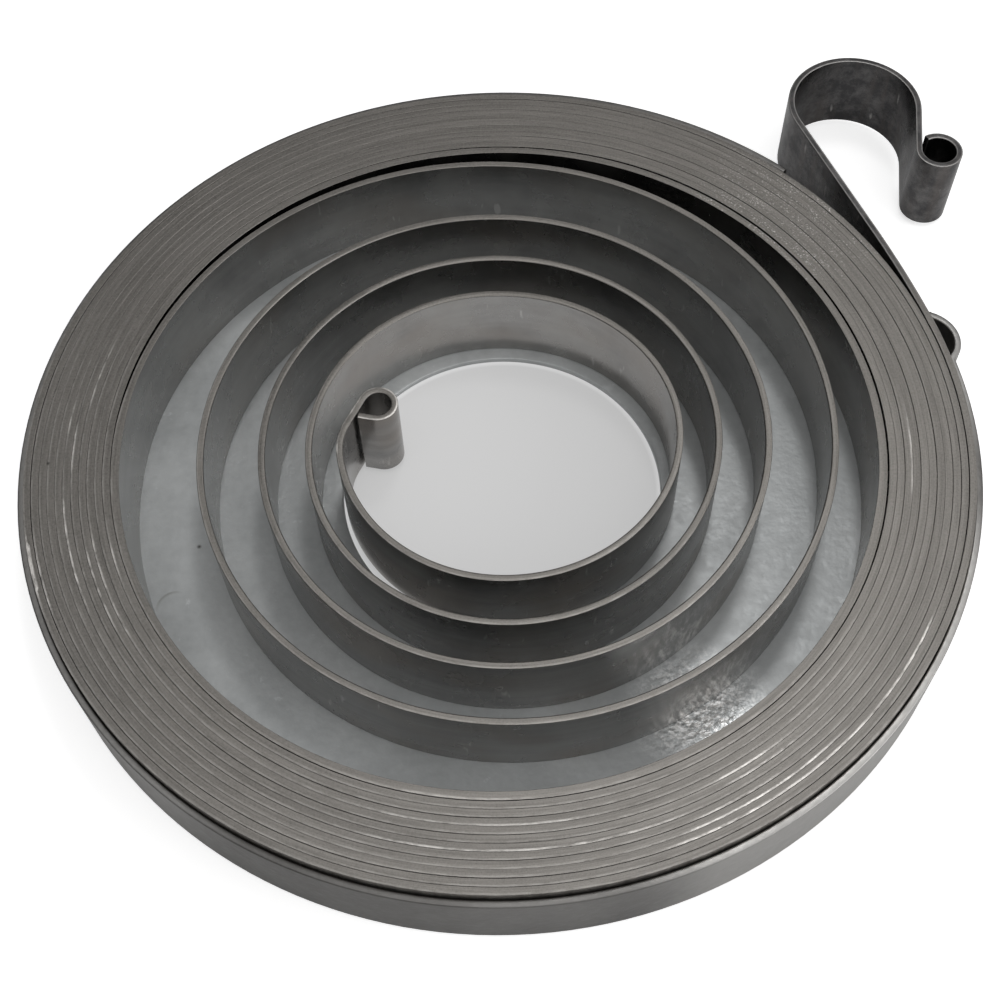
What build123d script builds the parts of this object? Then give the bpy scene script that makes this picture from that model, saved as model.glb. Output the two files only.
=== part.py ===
from build123d import *
from math import atan2, cos, pi, sin
import os

os.makedirs("parts", exist_ok=True)

# All sizes are in millimetres and all angles in degrees.
# The case stands on z = 0, and the Z axis runs up the middle of its hub hole.

# Strip stock
strip_thickness = 0.75
strip_width = 9.8

# Quarter marks of a loop come in the order front, right, back, left.
quarters_per_loop = 4
hub_start_radius = 16.8
first_loop_radii = (17.93, 19.2, 18.12, 19.9)

# Growth of the loose loops at each quarter mark
second_loop_growth = (4.9, 4.1, 5.25, 5.0)
third_loop_growth = (4.65, 5.25, 6.15, 6.45)
fourth_loop_growth = (5.8, 7.0, 8.3, 8.9)
first_turn_growth = (7.3, 4.7, 2.2, 0.96)
second_turn_growth = (0.87, 1.0, 1.0, 0.83)

# Air between neighbouring tight turns at each quarter mark
tight_turn_air = (0.045, 0.07, 0.125, 0.072)
tight_turn_count = 10

# Direction of the hub end and of the tail end of the coil
coil_start_angle = 189.3
tail_leave_angle = 14.5

# Folded inner end
fold_bend_radius = 7.0
fold_bend_sweep = 35.0
fold_straight = 3.4
fold_curl_radius = 1.8
fold_curl_sweep = 256.0
fold_tip_length = 1.65

# Tail with the coil's last slight bend in it, hook bend and rolled eye
tail_bend_radius = 140.0
tail_bend_sweep = 5.8
tail_length = 18.1
hook_radius = 7.65
hook_sweep = 209.3
neck_length = 6.5
eye_radius = 2.35
eye_sweep = 308.0

# Sheet-metal case
case_sheet = 0.75
case_clearance = 0.06
wall_below_strip = 1.0
hub_hole_radius = 17.55
hub_hole_offset_right = 0.24
hub_hole_offset_front = 1.28
case_corner_chamfer = 0.4
bulge_angle = 12.5
bulge_arc_radius = 3.3
bulge_height = 1.65
slot_start_angle = 16.4
slot_end_angle = 45.8
slot_corner_reach = 1.2

half_thickness = strip_thickness / 2
left_mark_angle = 180.0
quarter_angle = 90.0
arc_step_angle = 45.0

# Centreline radius at every quarter mark, from the hub outwards
tight_growth = tuple(strip_thickness + air for air in tight_turn_air)
growth_list = [
    second_loop_growth,
    third_loop_growth,
    fourth_loop_growth,
    first_turn_growth,
    second_turn_growth,
]
growth_list += [tight_growth] * (tight_turn_count + 1)
mark_radii = [hub_start_radius, hub_start_radius]
mark_radii += first_loop_radii
for growth in growth_list:
    for step in growth:
        mark_radii.append(mark_radii[-quarters_per_loop] + step)


# Smooth radius between the quarter marks, at an angle counted on through every turn
def coil_radius(angle):
    quarters = (angle - left_mark_angle) / quarter_angle
    mark = int(quarters)
    part_way = quarters - mark
    before, here, after, beyond = mark_radii[mark : mark + 4]
    slope_here = (after - before) / 2
    slope_after = (beyond - here) / 2
    blend = part_way * part_way * (3 - 2 * part_way)
    rise_here = part_way * (1 - part_way) ** 2 * slope_here
    rise_after = part_way**2 * (part_way - 1) * slope_after
    return here + (after - here) * blend + rise_here + rise_after


def coil_point(angle):
    radians = angle * pi / 180
    return Vector(cos(radians), sin(radians)) * coil_radius(angle)


def direction(heading):
    return Vector(cos(heading * pi / 180), sin(heading * pi / 180))


def coil_heading(angle):
    nearby = 0.01
    travel = coil_point(angle + nearby) - coil_point(angle - nearby)
    return atan2(travel.Y, travel.X) * 180 / pi


# A point beside the centreline, offset to the left of the way it runs
def beside(point, heading, offset):
    return point + direction(heading + quarter_angle) * offset


# One side of the coil, as a chain of arcs that share their end points
def draw_coil_side(start_angle, end_angle, offset):
    arc_count = round((end_angle - start_angle) / arc_step_angle)
    half_step = (end_angle - start_angle) / arc_count / 2
    points = []
    for index in range(2 * arc_count + 1):
        angle = start_angle + index * half_step
        points.append(beside(coil_point(angle), coil_heading(angle), offset))
    for index in range(arc_count):
        ThreePointArc(*points[2 * index : 2 * index + 3])


# One side of an end of the strip: each move is (bend radius, sweep), or (None, straight length).
# A positive sweep turns to the left and a negative one to the right.
def draw_end_side(point, heading, moves, offset):
    for radius, amount in moves:
        start = beside(point, heading, offset)
        if radius is None:
            point = point + direction(heading) * amount
            Line(start, beside(point, heading, offset))
        else:
            turn = 1 if amount > 0 else -1
            centre = beside(point, heading, radius * turn)
            JernArc(start, direction(heading), radius - offset * turn, amount)
            heading = heading + amount
            point = centre - (beside(centre, heading, radius * turn) - centre)
    return beside(point, heading, offset)


whole_turns = len(growth_list)
coil_end_angle = 360 * whole_turns + tail_leave_angle
fold_heading = coil_heading(coil_start_angle) + 180
fold_moves = [
    (fold_bend_radius, -fold_bend_sweep),
    (None, fold_straight),
    (fold_curl_radius, -fold_curl_sweep),
    (None, fold_tip_length),
]
tail_moves = [
    (tail_bend_radius, tail_bend_sweep),
    (None, tail_length),
    (hook_radius, -hook_sweep),
    (None, neck_length),
    (eye_radius, eye_sweep),
]

# The coil and the case share one centre, which the hub hole is a little off.
base_plane = Plane((-hub_hole_offset_right, hub_hole_offset_front, 0))
floor_plane = base_plane.offset(case_sheet)

# The strip: folded inner end, loose loops, tight turns, tail, hook and rolled eye in one piece
with BuildPart() as spring_strip:
    with BuildSketch(floor_plane):
        with BuildLine():
            fold_ends = []
            tail_ends = []
            for offset in (half_thickness, -half_thickness):
                draw_coil_side(coil_start_angle, coil_end_angle, offset)
                fold_ends.append(
                    draw_end_side(coil_point(coil_start_angle), fold_heading, fold_moves, -offset)
                )
                tail_ends.append(
                    draw_end_side(
                        coil_point(coil_end_angle), coil_heading(coil_end_angle), tail_moves, offset
                    )
                )
            Line(*fold_ends)
            Line(*tail_ends)
        make_face()
    extrude(amount=strip_width)

# The outermost turn sets the inside of the case.
last_marks = [coil_radius(coil_end_angle - quarter_angle * count) for count in range(quarters_per_loop)]
case_inner_radius = max(last_marks) + half_thickness + case_clearance
case_outer_radius = case_inner_radius + case_sheet
bulge_centre_radius = case_inner_radius + bulge_height - bulge_arc_radius
bulge_centre = direction(bulge_angle) * bulge_centre_radius
wall_top = case_sheet + strip_width - wall_below_strip
slot_reach = case_outer_radius + bulge_height

# The case: floor with the hub hole, low wall with a half-round bulge, slot for the tail
with BuildPart() as spring_case:
    with BuildSketch(base_plane):
        Circle(case_outer_radius)
        with Locations(bulge_centre):
            Circle(bulge_arc_radius + case_sheet)
    extrude(amount=wall_top)
    base_rim = spring_case.faces().sort_by(Axis.Z)[0].outer_wire().edges()
    chamfer(base_rim, case_corner_chamfer)
    with BuildSketch(floor_plane):
        Circle(case_inner_radius)
        with Locations(bulge_centre):
            Circle(bulge_arc_radius)
    extrude(amount=wall_top, mode=Mode.SUBTRACT)
    with BuildSketch(floor_plane):
        with BuildLine():
            slot_start = direction(slot_start_angle) * slot_reach
            slot_end = direction(slot_end_angle) * slot_reach
            slot_corner = (slot_start + slot_end) / 2 * slot_corner_reach
            Polyline((0, 0), slot_start, slot_corner, slot_end, close=True)
        make_face()
    extrude(amount=wall_top, mode=Mode.SUBTRACT)
    with BuildSketch():
        Circle(hub_hole_radius)
    extrude(amount=case_sheet, mode=Mode.SUBTRACT)

spring_strip.part.label = "spring_strip"
spring_case.part.label = "spring_case"
export_step(spring_strip.part, "parts/spring_strip.step")
export_step(spring_case.part, "parts/spring_case.step")
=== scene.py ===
import math

import bpy
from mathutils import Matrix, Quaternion, Vector


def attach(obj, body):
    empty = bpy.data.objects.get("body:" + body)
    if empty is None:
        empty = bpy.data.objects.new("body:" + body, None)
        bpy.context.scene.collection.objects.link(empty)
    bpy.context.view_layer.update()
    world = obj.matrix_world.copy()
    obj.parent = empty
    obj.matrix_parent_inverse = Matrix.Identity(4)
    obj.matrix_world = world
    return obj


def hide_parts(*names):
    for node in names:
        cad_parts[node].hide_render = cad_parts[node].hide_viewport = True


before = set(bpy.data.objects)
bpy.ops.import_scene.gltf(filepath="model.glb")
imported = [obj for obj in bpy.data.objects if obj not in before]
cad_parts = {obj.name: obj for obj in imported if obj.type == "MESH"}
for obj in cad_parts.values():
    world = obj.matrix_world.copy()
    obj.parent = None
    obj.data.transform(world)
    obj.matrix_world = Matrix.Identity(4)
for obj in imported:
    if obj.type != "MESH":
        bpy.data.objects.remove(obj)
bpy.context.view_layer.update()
mm = 0.001

# What both pieces share: coil and case have one centre, a little off the hub hole
layout = {
    "centre": Vector((-0.24, 1.28)) * mm,
    "floorTop": 0.75 * mm,
}


def unit(degrees):
    return Vector((math.cos(math.radians(degrees)), math.sin(math.radians(degrees))))


def smooth(value):
    value = min(max(value, 0.0), 1.0)
    return value * value * (3 - 2 * value)


# Goes smoothly from 0 at low to 1 at high
def between(value, low, high):
    return smooth((value - low) / (high - low))


# Steady small waves between -1 and 1, the same on every run
def ripple(position, periods):
    waves = [math.sin(position / period + 1.7 * index) for index, period in enumerate(periods)]
    return sum(waves) / len(waves)


def makeMesh(name, points, faces, values):
    mesh = bpy.data.meshes.new(name)
    mesh.from_pydata(points, [], faces)
    for key, numbers in values.items():
        mesh.attributes.new(key, "FLOAT", "POINT").data.foreach_set("value", numbers)
    mesh.shade_smooth()
    mesh.set_sharp_from_angle(angle=math.radians(50))
    piece = bpy.data.objects.new(name, mesh)
    bpy.context.scene.collection.objects.link(piece)
    normals = piece.modifiers.new("face_weighted_normals", "WEIGHTED_NORMAL")
    normals.weight, normals.keep_sharp = 90, True
    return piece


strip = {
    "thickness": 0.75,
    "width": 9.8,
    # rounding of the edges towards the hub and away from it, in the loose loops and the tight turns
    "looseRounding": (0.16, 0.07),
    "tightRounding": (0.045, 0.035),
    # least and most left open between turns that press on each other, and how that wanders
    "tightGap": (0.0, 0.026),
    "gapPeriods": (23.0, 37.0, 71.0),
    "pressedPitch": (1.05, 0.95),  # turns this close start to press, and press fully
    "freeEnd": 400,  # the last stretch of the coil, in degrees, has no turn outside it
    "tightRadius": (37, 39),  # radii between which the rounding goes from loose to tight
    "hubRadius": 16.8,
    # radius of the first loop, and the growth of each later one, at front, right, back and left
    "firstLoop": (17.93, 19.2, 18.12, 19.9),
    "growth": (
        (4.9, 4.1, 5.25, 5.0),
        (4.65, 5.25, 6.15, 6.45),
        (5.8, 7.0, 8.3, 8.9),
        (7.3, 4.7, 2.2, 0.96),
        (0.87, 1.0, 1.0, 0.83),
    ),
    "tightAir": (0.045, 0.07, 0.125, 0.072),
    "tightTurns": 10,
    "startAngle": 189.3,
    "leaveAngle": 14.5,
    "coilStep": 2.0,
    "bendStep": 5.0,
    "straightStep": 1.5,
    # bend radius and sweep, or straight length, starting at the coil
    "fold": ((7.0, -35.0), (None, 3.4), (1.8, -256.0), (None, 1.65)),
    "tail": ((140.0, 5.8), (None, 18.1), (7.65, -209.3), (None, 6.5), (2.35, 308.0)),
    "cornerSteps": 3,
    "unevenTop": 0.16,  # how far the turns' tops dip, and how that wanders
    "unevenPeriods": (29.0, 47.0, 83.0),
    "levelEnds": (120, 60),  # degrees over which the unevenness starts and ends
    "tailFade": 12.0,  # length over which the tail turns dark
    "sparkling": (22, 58, 10),  # directions between which the turns' edges get painted sparkle highlights, and the fade
    "tailTightness": 0.3,  # rounding of the tail's edges, from loose to tight
    # painted highlight along the fold's outer rim
    "foldShine": 0.8,
    "paintedGlintFade": 3,  # degrees over which a stretch of painted glint fades
    "paintedGlintReach": 0.4,  # how near to its radius a turn has to be
    # painted highlights along the turns' outer corners, where they catch the light: outer radius,
    # first and last direction, how bright
    "paintedGlint": (
        (45.7, 172, 180, 0.7),
        (44.0, 163, 176, 0.7),
        (45.7, 186, 207, 1.0),
        (45.0, 176, 187, 0.8),
        (44.1, 196, 211, 0.8),
        (43.2, 194, 213, 0.7),
        (41.7, 197, 203, 1.0),
        (45.7, 252, 292, 0.6),
        (43.3, 250, 281, 0.5),
        (41.3, 253, 273, 0.4),
        (48.0, 286, 331, 1.0),
        (47.1, 288, 312, 1.0),
        (46.3, 290, 303, 0.7),
        (45.0, 295, 307, 0.8),
        (44.2, 294, 306, 0.8),
        (43.4, 346, 362, 0.5),
        (49.8, 191, 204, 1.12),
        (49.0, 193, 206, 0.8),
    ),
    # and the painted highlight on every turn between two directions, how bright, and the fade
    "paintedGlintAll": (150, 335, 0.2, 20),
}


def stripMarks():
    marks = [strip["hubRadius"]] * 2 + list(strip["firstLoop"])
    tight = [strip["thickness"] + air for air in strip["tightAir"]]
    for growth in list(strip["growth"]) + [tight] * (strip["tightTurns"] + 1):
        for step in growth:
            marks.append(marks[-4] + step)
    return marks


def coilPoint(marks, angle):
    mark, part = divmod((angle - 180) / 90, 1)
    before, here, after, beyond = marks[int(mark) : int(mark) + 4]
    slopeHere, slopeAfter = (after - before) / 2, (beyond - here) / 2
    radius = here + (after - here) * smooth(part)
    radius += part * (1 - part) ** 2 * slopeHere + part**2 * (part - 1) * slopeAfter
    return unit(angle) * radius


def coilHeading(marks, angle):
    travel = coilPoint(marks, angle + 0.01) - coilPoint(marks, angle - 0.01)
    return math.degrees(math.atan2(travel.y, travel.x))


# Walks along bends and straights and gives every (point, heading) after the first
def endPath(point, heading, moves):
    path = []
    for radius, amount in moves:
        if radius is None:
            steps = math.ceil(amount / strip["straightStep"])
            for _ in range(steps):
                point = point + unit(heading) * amount / steps
                path.append((point, heading))
        else:
            length = math.radians(abs(amount)) * radius
            steps = math.ceil(max(abs(amount) / strip["bendStep"], length / strip["straightStep"]))
            turn = amount / steps
            for _ in range(steps):
                chord = 2 * radius * math.sin(math.radians(abs(turn) / 2))
                point = point + unit(heading + turn / 2) * chord
                heading += turn
                path.append((point, heading))
    return path


# How wide the strip is drawn at one place of the coil, where the next turn presses on it
def pressedThickness(marks, angle, last):
    if angle > last - strip["freeEnd"]:
        return strip["thickness"]
    pitch = coilPoint(marks, angle + 360).length - coilPoint(marks, angle).length
    least, most = strip["tightGap"]
    gap = least + (most - least) * smooth(0.35 + 0.9 * ripple(angle, strip["gapPeriods"]))
    room = max(pitch - gap - strip["thickness"], 0)
    return strip["thickness"] + room * between(pitch, *strip["pressedPitch"])


# 1 between two directions and 0 beyond them, with a fade inside each
def arcMask(angle, first, last, fade):
    return smooth((angle - first) / fade) * smooth((last - angle) / fade)


# How bright the painted highlight is on a turn's outer corner at one place
def paintedGlintAt(radius, angle):
    first, last, amount, fade = strip["paintedGlintAll"]
    found = amount * arcMask(angle % 360, first, last, fade)
    outer = radius + strip["thickness"] / 2
    for place, first, last, amount in strip["paintedGlint"]:
        turned = (angle - first) % 360
        if abs(outer - place) < strip["paintedGlintReach"] and turned < last - first:
            found = max(found, amount * arcMask(turned, 0, last - first, strip["paintedGlintFade"]))
    return found


# Every place of the strip: the coil's turns sit unevenly, and its two ends stay level
def stripPath():
    marks = stripMarks()
    turns = len(strip["growth"]) + strip["tightTurns"] + 1
    first, last = strip["startAngle"], 360 * turns + strip["leaveAngle"]
    steps = round((last - first) / strip["coilStep"])
    levelStart, levelEnd = strip["levelEnds"]
    coil = []
    for index in range(steps + 1):
        angle = first + (last - first) * index / steps
        point = coilPoint(marks, angle)
        tight = between(point.length, *strip["tightRadius"])
        coil.append({
            "point": point,
            "heading": coilHeading(marks, angle),
            "uneven": smooth((angle - first) / levelStart) * smooth((last - angle) / levelEnd),
            "thickness": pressedThickness(marks, angle, last),
            "tight": tight,
            "paintedGlint": paintedGlintAt(point.length, angle),
            "sparkle": arcMask(angle % 360, *strip["sparkling"]) * tight,
        })
    level = {"uneven": 0.0, "thickness": strip["thickness"], "sparkle": 0.0}
    innerEnd = dict(level, tight=0.0, paintedGlint=strip["foldShine"])
    outerEnd = dict(level, tight=strip["tailTightness"], paintedGlint=0.0, tail=True)
    inner, outer = [], []
    for point, heading in endPath(coil[0]["point"], coil[0]["heading"] + 180, strip["fold"]):
        inner.insert(0, dict(innerEnd, point=point, heading=heading - 180))
    for point, heading in endPath(coil[-1]["point"], coil[-1]["heading"], strip["tail"]):
        outer.append(dict(outerEnd, point=point, heading=heading))
    return inner + coil + outer


# Rounded cross-section of the strip as (towards the hub, up, how far round the edge)
def stripSection(thickness, tight):
    section = []
    for side, up in ((1, 1), (-1, 1), (-1, -1), (1, -1)):
        which = 0 if side == 1 else 1
        loose, close = strip["looseRounding"][which], strip["tightRounding"][which]
        radius = loose + (close - loose) * tight
        base = strip["width"] - radius if up == 1 else radius
        corner = []
        for index in range(strip["cornerSteps"] + 1):
            lean = math.pi / 2 * index / strip["cornerSteps"]
            across = side * (thickness / 2 - radius + radius * math.cos(lean))
            corner.append((across, base + up * radius * math.sin(lean), math.sin(lean)))
        section += corner if side == up else corner[::-1]
    return section


def makeStrip():
    points, faces = [], []
    values = {key: [] for key in ("along", "across", "edge", "side", "paintedGlint", "sparkle", "tail")}
    gone, before, tail = 0.0, None, 0.0
    for place in stripPath():
        step = (place["point"] - before).length if before else 0.0
        gone += step
        before = place["point"]
        tail = min(tail + step / strip["tailFade"], 1.0) if "tail" in place else 0.0
        wave = 0.5 + 0.5 * ripple(gone, strip["unevenPeriods"])
        drop = strip["unevenTop"] * place["uneven"] * wave
        sideways = unit(place["heading"] + 90)
        section = stripSection(place["thickness"], place["tight"])
        for offset, height, rounded in section:
            spot = layout["centre"] + (before + sideways * offset) * mm
            lowered = height - drop * height / strip["width"]
            points.append((spot.x, spot.y, layout["floorTop"] + lowered * mm))
            values["along"].append(gone * mm)
            values["across"].append(height * mm)
            values["edge"].append(rounded if height > strip["width"] / 2 else 0.0)
            values["side"].append(-offset / place["thickness"] * 2)
            values["paintedGlint"].append(place["paintedGlint"])
            values["sparkle"].append(place["sparkle"])
            values["tail"].append(tail)
    count = len(section)
    rings = len(points) // count
    for ring in range(rings - 1):
        for index in range(count):
            following = (index + 1) % count
            a, b = ring * count, (ring + 1) * count
            faces.append((a + index, a + following, b + following, b + index))
    faces.append(tuple(range(count))[::-1])
    faces.append(tuple(range((rings - 1) * count, rings * count)))
    return makeMesh("strip", points, faces, values)


case = {
    "innerRadius": 49.92,
    "sheet": 0.75,
    "slotTop": 0.76,  # height of what is left of the wall in the slot
    "wallTop": 9.55,
    "holeRadius": 17.55,
    "holeRim": 0.15,
    "cornerRadius": 0.7,
    "lipRadius": 0.18,
    "bulgeAngle": 12.5,
    "bulgeRadius": 3.3,
    "bulgeHeight": 1.65,
    "slot": (16.4, 45.8),
    "step": 2.0,
    "fineStep": 0.25,
    "fineArc": (7, 18),  # directions of the bulge, where the wall has finer steps
    # directions between which the wall's outside gets painted light, and how much
    "paintedWallLight": ((145, 240, 0.45), (282, 350, 0.8), (354, 382, 0.7)),
    "paintedWallLightFade": 12,
    # how far out from the hole's edge to the wall the floor's rings lie
    "floorRings": (0.97, 0.8, 0.6, 0.4, 0.2, 0.03),
}


# Radius of the wall, which swells out at the round bulge
def wallRadius(angle, plain, bulge):
    centre = case["innerRadius"] + case["bulgeHeight"] - case["bulgeRadius"]
    away = math.radians(angle - case["bulgeAngle"])
    inside = bulge**2 - (centre * math.sin(away)) ** 2
    if inside <= 0 or math.cos(away) < 0:
        return plain
    return max(plain, centre * math.cos(away) + math.sqrt(inside))


def roundCorner(centreRadius, centreHeight, radius, start, end, steps):
    found = []
    for index in range(steps + 1):
        lean = math.radians(start + (end - start) * index / steps)
        across, up = radius * math.cos(lean), radius * math.sin(lean)
        found.append((centreRadius + across, centreHeight + up))
    return found


# Section through the case at one angle: from the underside out, up the wall, over its lip and down
def caseSection(angle):
    sheet, lip, corner = case["sheet"], case["lipRadius"], case["cornerRadius"]
    inner = wallRadius(angle, case["innerRadius"], case["bulgeRadius"])
    outer = wallRadius(angle, case["innerRadius"] + sheet, case["bulgeRadius"] + sheet)
    first, last = case["slot"]
    top = case["wallTop"]
    if first < angle < last:
        top, lip = case["slotTop"], 0.004
    lipSteps, cornerSteps = 3, 5
    section = roundCorner(outer - corner, corner, corner, -90, 0, cornerSteps)
    section += roundCorner(outer - lip, top - lip, lip, 0, 90, lipSteps)
    section += roundCorner(inner + lip, top - lip, lip, 90, 180, lipSteps)
    section.append((inner, sheet))
    return section


def paintedWallLightAt(angle):
    found = 0.0
    for first, last, amount in case["paintedWallLight"]:
        for turned in (angle, angle + 360):
            found = max(found, amount * arcMask(turned, first, last, case["paintedWallLightFade"]))
    return found


def makeCase():
    first, last = case["slot"]
    fineFirst, fineLast = case["fineArc"]
    angles = [first, first + 0.01, last - 0.01, last]
    angle = 0.0
    while angle < 360:
        angles.append(angle)
        angle += case["fineStep"] if fineFirst < angle < fineLast else case["step"]
    holeShift = -layout["centre"] / mm
    points, faces, outside, paintedWallLight = [], [], [], []
    for angle in sorted(angles):
        direction = unit(angle)
        rim, sheet = case["holeRim"], case["sheet"]
        section = [(direction * radius, z) for radius, z in caseSection(angle)]
        outer = len(section) - 1
        wall = section[-1][0]
        lip = holeShift + direction * (case["holeRadius"] + rim)
        section += [(lip + (wall - lip) * share, sheet) for share in case["floorRings"]]
        edge = lip - direction * rim
        section += [(lip, sheet), (edge, sheet - rim), (edge, rim), (lip, 0.0)]
        for index, (place, z) in enumerate(section):
            place = layout["centre"] + place * mm
            points.append((place.x, place.y, z * mm))
            outside.append(1.0 if index < outer else 0.0)
            paintedWallLight.append(paintedWallLightAt(angle))
        count = len(section)
    rings = len(points) // count
    for ring in range(rings):
        a, b = ring * count, (ring + 1) % rings * count
        for index in range(count):
            following = (index + 1) % count
            faces.append((a + index, b + index, b + following, a + following))
    return makeMesh("case_shell", points, faces, {"outside": outside, "paintedWallLight": paintedWallLight})


def addNode(tree, kind, inputs=None, **settings):
    made = tree.nodes.new(kind)
    for key, value in settings.items():
        setattr(made, key, value)
    for key, value in (inputs or {}).items():
        if isinstance(value, bpy.types.NodeSocket):
            tree.links.new(value, made.inputs[key])
        else:
            made.inputs[key].default_value = value
    return made


def newMaterial(name):
    material = bpy.data.materials.new(name)
    material.use_nodes = True
    tree = material.node_tree
    tree.nodes.clear()
    shader = addNode(tree, "ShaderNodeBsdfPrincipled")
    addNode(tree, "ShaderNodeOutputMaterial", {"Surface": shader.outputs[0]})
    return material, tree, shader


def noise(tree, vector, scale, detail=3.0, roughness=0.6):
    inputs = {"Vector": vector, "Scale": scale, "Detail": detail, "Roughness": roughness}
    return addNode(tree, "ShaderNodeTexNoise", inputs).outputs["Fac"]


def ramp(tree, value, low, high, bottom=0.0, top=1.0):
    inputs = {"Value": value, "From Min": low, "From Max": high, "To Min": bottom, "To Max": top}
    return addNode(tree, "ShaderNodeMapRange", inputs).outputs["Result"]


def mixColour(tree, factor, first, second):
    inputs = {0: factor, 6: first, 7: second}
    return addNode(tree, "ShaderNodeMix", inputs, data_type="RGBA").outputs[2]


def mixNumber(tree, factor, first, second):
    inputs = {0: factor, 2: first, 3: second}
    return addNode(tree, "ShaderNodeMix", inputs, data_type="FLOAT").outputs[0]


def maths(tree, operation, first, second=0.0):
    return addNode(tree, "ShaderNodeMath", {0: first, 1: second}, operation=operation).outputs[0]


def times(tree, first, second):
    return maths(tree, "MULTIPLY", first, second)


def attribute(tree, name):
    return addNode(tree, "ShaderNodeAttribute", attribute_name=name).outputs["Fac"]


# Noise whose marks follow the strip: the two scales run along it and up its width
def ribbonNoise(tree, scales, detail, roughness, scale=1.0):
    alongScale, acrossScale = scales
    inputs = {
        "X": times(tree, attribute(tree, "along"), alongScale),
        "Y": times(tree, attribute(tree, "across"), acrossScale),
        "Z": times(tree, attribute(tree, "side"), 0.7),
    }
    place = addNode(tree, "ShaderNodeCombineXYZ", inputs).outputs[0]
    return noise(tree, place, scale, detail, roughness)


def blendOf(tree, first, second, share):
    return maths(tree, "ADD", times(tree, first, 1 - share), times(tree, second, share))


def addBump(tree, shader, strength, distance, height):
    inputs = {"Strength": strength, "Distance": distance, "Height": height}
    tree.links.new(addNode(tree, "ShaderNodeBump", inputs).outputs[0], shader.inputs["Normal"])


def distanceFrom(tree, place, centre):
    inputs = {0: place, 1: centre}
    return addNode(tree, "ShaderNodeVectorMath", inputs, operation="DISTANCE").outputs["Value"]


# 1 inside a round mark and 0 outside it
def spotMask(tree, place, centre, radius, core=0.5):
    return ramp(tree, distanceFrom(tree, place, centre), radius, radius * core)


steelLook = {
    # the broad faces; a pair of scales is along the strip and up its width
    "dark": (0.19, 0.187, 0.184, 1),
    "light": (0.31, 0.304, 0.297, 1),
    "cloudScale": 110.0,
    "streakScales": (60.0, 900.0),
    "stain": (0.235, 0.21, 0.188, 1),
    "stainScales": (70.0, 110.0),
    "scratch": (0.6, 0.59, 0.57, 1),
    "scratchScales": (900.0, 220.0),
    # colour of the hub-facing side, lighter as painted light on those faces
    "inside": (0.44, 0.432, 0.42, 1),
    "faceRoughness": (0.2, 0.34),
    "polishedWithPaintedReflection": (Vector((19.2, -23.4, 3.2)) * mm, 8 * mm),  # centre and reach of the polished faces, which also get painted reflection flecks
    "shinyRoughness": 0.14,
    "paintedReflectionScales": (1300.0, 450.0),
    # the rolled edges
    "edgeDark": (0.16, 0.151, 0.139, 1),
    "edgeLight": (0.355, 0.337, 0.314, 1),
    "edgeRoughness": (0.4, 0.6),
    "grainScale": 4200.0,
    "glint": (0.95, 0.92, 0.88, 1),
    "paintedSparkleScale": 4300.0,
    "outermost": (49.3 * mm, 49.6 * mm),  # radii beyond which a face is as dull as the edges
    "speck": (Vector((-47.5, -1.3, 10.55)) * mm, 0.28 * mm),
    "speckColour": (0.06, 0.055, 0.05, 1),
    # the tail, hook and rolled eye
    "tailDark": (0.085, 0.084, 0.086, 1),
    "tailLight": (0.22, 0.214, 0.212, 1),
    "tailPaintedRim": (0.42, 0.41, 0.4, 1),
    "scuffScale": 420.0,
    "rust": (0.15, 0.135, 0.127, 1),
    "rustScales": (700.0, 90.0),
    "bump": 0.03 * mm,
    "bumpStrength": (0.1, 0.45),
}


# Cloudy tone, rolling streaks, brown stains, painted light on the hub side, and painted reflection
# flecks where it is polished
def steelFace(tree, look, cloud, polishedWithPaintedReflection):
    streaks = ribbonNoise(tree, look["streakScales"], 3.0, 0.6)
    tone = ramp(tree, blendOf(tree, cloud, streaks, 0.4), 0.36, 0.62)
    face = mixColour(tree, tone, look["dark"], look["light"])
    stain = ramp(tree, ribbonNoise(tree, look["stainScales"], 2.0, 0.5), 0.5, 0.68, 0.0, 0.8)
    face = mixColour(tree, stain, face, look["stain"])
    # painted light: the hub-facing side of every turn is lighter
    hubSide = ramp(tree, attribute(tree, "side"), -0.7, -0.95)
    inside = times(tree, hubSide, ramp(tree, cloud, 0.3, 0.7, 0.25, 0.6))
    face = mixColour(tree, inside, face, look["inside"])
    # painted reflection: light flecks stand in for the bright floor patch mirrored in the polished
    # faces
    paintedReflectionFlecks = ramp(tree, ribbonNoise(tree, look["paintedReflectionScales"], 4.0, 0.7), 0.46, 0.74, 0.0, 0.8)
    return mixColour(tree, times(tree, paintedReflectionFlecks, polishedWithPaintedReflection), face, look["glint"])


# Dark and scuffed, with upright rusty runs
def steelTail(tree, look, place):
    scuffs = noise(tree, place, look["scuffScale"], 5.0, 0.75)
    colour = mixColour(tree, ramp(tree, scuffs, 0.42, 0.72), look["tailDark"], look["tailLight"])
    runs = ramp(tree, ribbonNoise(tree, look["rustScales"], 3.0, 0.6), 0.45, 0.7, 0.0, 0.6)
    return mixColour(tree, runs, colour, look["rust"])
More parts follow.
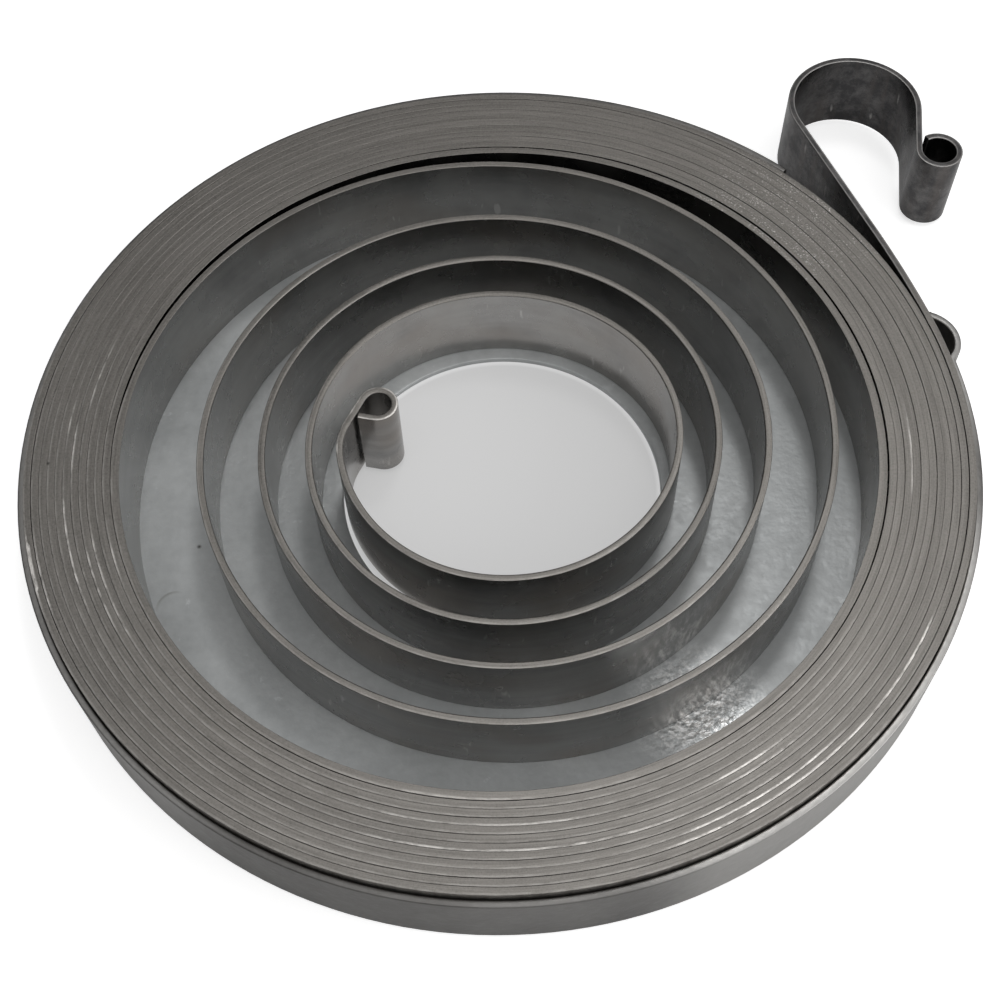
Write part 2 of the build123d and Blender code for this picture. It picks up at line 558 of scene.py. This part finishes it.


# Granular with fine lines, and painted highlights along the turns' outer corners
def steelEdge(tree, look, place, grain, tail, tailFace):
    side = attribute(tree, "side")
    lines = ribbonNoise(tree, (40.0, 0.0), 4.0, 0.7, 4.0)
    broad = ribbonNoise(tree, (25.0, 0.0), 2.0, 0.5)
    tone = ramp(tree, blendOf(tree, grain, blendOf(tree, lines, broad, 0.4), 0.62), 0.36, 0.64)
    colour = mixColour(tree, tone, look["edgeDark"], look["edgeLight"])
    # painted highlight along both rounded corners of the tail's edge
    paintedRim = ramp(tree, maths(tree, "ABSOLUTE", side), 0.45, 0.8)
    colour = mixColour(tree, tail, colour, mixColour(tree, paintedRim, tailFace, look["tailPaintedRim"]))
    # values over 1 widen the painted highlight across the edge
    paintedGlint = attribute(tree, "paintedGlint")
    wide = times(tree, maths(tree, "MAXIMUM", maths(tree, "SUBTRACT", paintedGlint, 1.0), 0.0), 4.0)
    outer = ramp(tree, maths(tree, "ADD", side, wide), 0.35, 0.65)
    broken = ramp(tree, ribbonNoise(tree, (500.0, 0.0), 3.0, 0.7), 0.36, 0.6, 0.1, 1.0)
    bright = maths(tree, "MINIMUM", times(tree, times(tree, paintedGlint, outer), broken), 1.0)
    colour = mixColour(tree, bright, colour, look["glint"])
    # painted sparkle highlights on the edges between the sparkling directions
    paintedSparkles = ramp(tree, noise(tree, place, look["paintedSparkleScale"], 2.0, 0.6), 0.54, 0.7, 0.0, 0.8)
    strands = ramp(tree, ribbonNoise(tree, (260.0, 0.0), 3.0, 0.7), 0.44, 0.62)
    paintedSparkles = times(tree, times(tree, paintedSparkles, strands), attribute(tree, "sparkle"))
    colour = mixColour(tree, paintedSparkles, colour, look["glint"])
    return mixColour(tree, spotMask(tree, place, *look["speck"], 0.1), colour, look["speckColour"])


def steelMaterial():
    look = steelLook
    material, tree, shader = newMaterial("spring_steel_look")
    place = addNode(tree, "ShaderNodeTexCoord").outputs["Object"]
    edge, tail = attribute(tree, "edge"), attribute(tree, "tail")
    cloud = noise(tree, place, look["cloudScale"], 4.0, 0.65)
    grain = noise(tree, place, look["grainScale"], 2.0, 0.7)
    polishedWithPaintedReflection = spotMask(tree, place, *look["polishedWithPaintedReflection"])
    tailFace = steelTail(tree, look, place)
    face = mixColour(tree, tail, steelFace(tree, look, cloud, polishedWithPaintedReflection), tailFace)
    scratches = ramp(tree, ribbonNoise(tree, look["scratchScales"], 2.0, 0.5), 0.7, 0.76, 0.0, 0.5)
    face = mixColour(tree, scratches, face, look["scratch"])
    edgeFace = steelEdge(tree, look, place, grain, tail, tailFace)
    # the outermost turn's face, which shows above the wall, is as dull as the edges
    inputs = {0: place, 1: (1, 1, 0)}
    flat = addNode(tree, "ShaderNodeVectorMath", inputs, operation="MULTIPLY").outputs[0]
    away = distanceFrom(tree, flat, layout["centre"].to_3d())
    coilOnly = maths(tree, "SUBTRACT", 1.0, tail)
    dull = times(tree, ramp(tree, away, *look["outermost"]), coilOnly)
    edgeMask = maths(tree, "MAXIMUM", ramp(tree, edge, 0.3, 0.8), dull)
    tree.links.new(mixColour(tree, edgeMask, face, edgeFace), shader.inputs["Base Color"])
    shader.inputs["Metallic"].default_value = 1.0
    faceRough = ramp(tree, cloud, 0.3, 0.7, *look["faceRoughness"])
    faceRough = mixNumber(tree, polishedWithPaintedReflection, faceRough, look["shinyRoughness"])
    edgeRough = ramp(tree, grain, 0.3, 0.7, *look["edgeRoughness"])
    tree.links.new(mixNumber(tree, edgeMask, faceRough, edgeRough), shader.inputs["Roughness"])
    strength = ramp(tree, edge, 0.3, 0.8, *look["bumpStrength"])
    addBump(tree, shader, strength, look["bump"], grain)
    return material


caseLook = {
    # the floor and the wall's inside
    "dark": (0.44, 0.457, 0.459, 1),
    "light": (0.6, 0.618, 0.619, 1),
    "cloudScale": 70.0,
    "fineScale": 900.0,
    "spot": (0.75, 0.77, 0.78, 1),
    "spotScale": 420.0,
    "metallic": 0.3,
    "roughness": (0.36, 0.48),
    # the wall's outside
    "wallDark": (0.155, 0.15, 0.144, 1),
    "wallLight": (0.23, 0.224, 0.216, 1),
    "wallPaintedLight": (0.5, 0.49, 0.475, 1),
    # the floor's knocked patch: centre, reach and how it looks, with painted sparkle highlights
    "dimpled": (Vector((19.3, -27.4, 0.75)) * mm, 8 * mm),
    "dimpledRoughness": 0.26,
    "dimpledMetallic": 0.75,
    "paintedFloorSparkles": (0.97, 0.97, 0.96, 1),
    "paintedFloorSparkleScale": 2100.0,
    "dentScale": 1500.0,
    "dentDepth": 0.3 * mm,
    "dentStrength": (0.1, 0.5),  # outside the patch and in it
    # a dark speck and the outline of a dried drop: centre and reach
    "speck": (Vector((-33.1, -6.4, 0.75)) * mm, 0.32 * mm),
    "speckColour": (0.06, 0.055, 0.05, 1),
    "dried": (Vector((-35.1, -13.8, 0.75)) * mm, 2.1 * mm),
    "driedColour": (0.24, 0.235, 0.22, 1),
}


# 1 on one side of a thin ring round a dried drop, and 0 elsewhere
def driedArc(tree, place, centre, reach):
    disc = spotMask(tree, place, centre, reach, 0.93)
    ring = maths(tree, "SUBTRACT", disc, spotMask(tree, place, centre, reach, 0.8))
    upperLeft = centre + Vector((-0.6, 0.7, 0.0)) * reach
    return times(tree, ring, spotMask(tree, place, upperLeft, reach, 0.3))


def caseMaterial():
    look = caseLook
    material, tree, shader = newMaterial("galvanised_look")
    place = addNode(tree, "ShaderNodeTexCoord").outputs["Object"]
    outside = attribute(tree, "outside")
    cloud = noise(tree, place, look["cloudScale"], 4.0, 0.6)
    fine = noise(tree, place, look["fineScale"], 3.0, 0.6)
    tone = ramp(tree, blendOf(tree, cloud, fine, 0.3), 0.36, 0.64)
    colour = mixColour(tree, tone, look["dark"], look["light"])
    spots = ramp(tree, noise(tree, place, look["spotScale"], 4.0, 0.8), 0.64, 0.74, 0.0, 0.6)
    colour = mixColour(tree, spots, colour, look["spot"])
    colour = mixColour(tree, driedArc(tree, place, *look["dried"]), colour, look["driedColour"])
    speck = spotMask(tree, place, *look["speck"], 0.1)
    colour = mixColour(tree, speck, colour, look["speckColour"])
    # painted highlights: white sparkles in the knocked patch where the lamp glints
    paintedFloorSparkles = ramp(tree, noise(tree, place, look["paintedFloorSparkleScale"], 3.0, 0.65), 0.46, 0.6)
    patch = spotMask(tree, place, *look["dimpled"], 0.3)
    colour = mixColour(tree, times(tree, paintedFloorSparkles, patch), colour, look["paintedFloorSparkles"])
    wall = mixColour(tree, tone, look["wallDark"], look["wallLight"])
    # painted light on the wall's outside towards the left and lower right
    wall = mixColour(tree, attribute(tree, "paintedWallLight"), wall, look["wallPaintedLight"])
    tree.links.new(mixColour(tree, outside, colour, wall), shader.inputs["Base Color"])
    metallic = mixNumber(tree, patch, look["metallic"], look["dimpledMetallic"])
    tree.links.new(mixNumber(tree, outside, metallic, 1.0), shader.inputs["Metallic"])
    rough = ramp(tree, fine, 0.3, 0.7, *look["roughness"])
    rough = mixNumber(tree, patch, rough, look["dimpledRoughness"])
    tree.links.new(rough, shader.inputs["Roughness"])
    dents = noise(tree, place, look["dentScale"], 2.0, 0.5)
    addBump(tree, shader, mixNumber(tree, patch, *look["dentStrength"]), look["dentDepth"], dents)
    return material


stage = {
    "target": Vector((-0.27, -1.44, 0.245)) * mm,
    "distance": 165.4 * mm,
    "elevation": 58.89,
    "roll": -1.908,
    "lens": 53.81,
    "floorColour": (0.82, 0.82, 0.82, 1),
    "hubFloor": (0.3, 0.3, 0.3, 1),
    "floorSize": 6,
    # the floor's glow for the camera outside and inside the hub hole, and in reflections inside it,
    # where the glow is a painted reflection on the hub's inner faces
    "floorLift": (0.64, 0.4, 0.42),
    "hubReach": (19 * mm, 17 * mm),
    "sky": (0.03, 0.88),  # from the dark side to the bright one
    "skySpread": (0.2, 1.0),
    "skyBright": Vector((0.35, -0.25, 0.9)),
    # direction, elevation, distance, size and power of each light
    "lights": {
        "lamp": (70.5, 66.6, 0.7, (0.1, 0.12), 0.5),
        "overhead": (268.0, 74.0, 0.8, (0.6, 0.3), 0.4),
        "right": (-20.0, 25.0, 0.8, (0.4, 0.4), 1.2),
    },
}


def makeCamera():
    data = bpy.data.cameras.new("camera")
    camera = bpy.data.objects.new("camera", data)
    bpy.context.scene.collection.objects.link(camera)
    bpy.context.scene.camera = camera
    data.sensor_width, data.lens = 36.0, stage["lens"]
    data.clip_start, data.clip_end = 0.01, 10
    lean = math.radians(stage["elevation"])
    back = Vector((0, -math.cos(lean), math.sin(lean)))
    camera.location = stage["target"] + back * stage["distance"]
    camera.rotation_mode = "QUATERNION"
    aimed = (-back).to_track_quat("-Z", "Y")
    camera.rotation_quaternion = aimed @ Quaternion((0, 0, 1), math.radians(stage["roll"]))


def addLight(name, turn, elevation, distance, size, power):
    data = bpy.data.lights.new(name, "AREA")
    data.shape, data.size, data.size_y = "RECTANGLE", size[0], size[1]
    data.energy = power
    light = bpy.data.objects.new(name, data)
    bpy.context.scene.collection.objects.link(light)
    flat, up = math.cos(math.radians(elevation)), math.sin(math.radians(elevation))
    place = Vector((*(unit(turn) * flat), up)) * distance
    light.location = place
    light.rotation_mode = "QUATERNION"
    light.rotation_quaternion = (-place).to_track_quat("-Z", "Y")


# A pale floor that reads white around the object and light grey inside the hub hole, where the grey
# is painted shade under the coil
def makeFloor():
    bpy.ops.mesh.primitive_plane_add(size=stage["floorSize"], location=(0, 0, 0))
    floor = bpy.context.object
    floor.name = "floor"
    material, tree, shader = newMaterial("floor_look")
    shader.inputs["Roughness"].default_value = 0.9
    ray = addNode(tree, "ShaderNodeLightPath")
    place = addNode(tree, "ShaderNodeNewGeometry").outputs["Position"]
    hub = ramp(tree, distanceFrom(tree, place, (0, 0, 0)), *stage["hubReach"])
    colour = mixColour(tree, hub, stage["floorColour"], stage["hubFloor"])
    tree.links.new(colour, shader.inputs["Base Color"])
    outside, inside, reflected = stage["floorLift"]
    seen = times(tree, ray.outputs["Is Camera Ray"], mixNumber(tree, hub, outside, inside))
    shine = times(tree, ray.outputs["Is Glossy Ray"], mixNumber(tree, hub, 0.0, reflected))
    shader.inputs["Emission Color"].default_value = (1, 1, 1, 1)
    tree.links.new(maths(tree, "ADD", seen, shine), shader.inputs["Emission Strength"])
    floor.data.materials.append(material)


# Soft grey surroundings, brighter towards one side, and white where the camera sees past the floor
def makeSky():
    world = bpy.data.worlds.new("studio")
    bpy.context.scene.world = world
    world.use_nodes = True
    tree = world.node_tree
    towards = addNode(tree, "ShaderNodeTexCoord").outputs["Generated"]
    inputs = {0: towards, 1: stage["skyBright"].normalized()}
    facing = addNode(tree, "ShaderNodeVectorMath", inputs, operation="DOT_PRODUCT").outputs["Value"]
    background = tree.nodes["Background"]
    background.inputs["Color"].default_value = (1, 1, 1, 1)
    seen = addNode(tree, "ShaderNodeLightPath").outputs["Is Camera Ray"]
    light = ramp(tree, facing, *stage["skySpread"], *stage["sky"])
    strength = mixNumber(tree, seen, light, 1.0)
    tree.links.new(strength, background.inputs["Strength"])


def makeStage():
    bpy.context.scene.view_settings.view_transform = "Standard"
    makeFloor()
    makeSky()
    for name, settings in stage["lights"].items():
        addLight(name, *settings)


print("strip")
stripPiece = makeStrip()
stripPiece.data.materials.append(steelMaterial())
print("case")
casePiece = makeCase()
casePiece.data.materials.append(caseMaterial())
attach(stripPiece, "root")
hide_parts("spring_strip")
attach(casePiece, "root")
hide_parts("spring_case")
print("stage")
makeCamera()
makeStage()
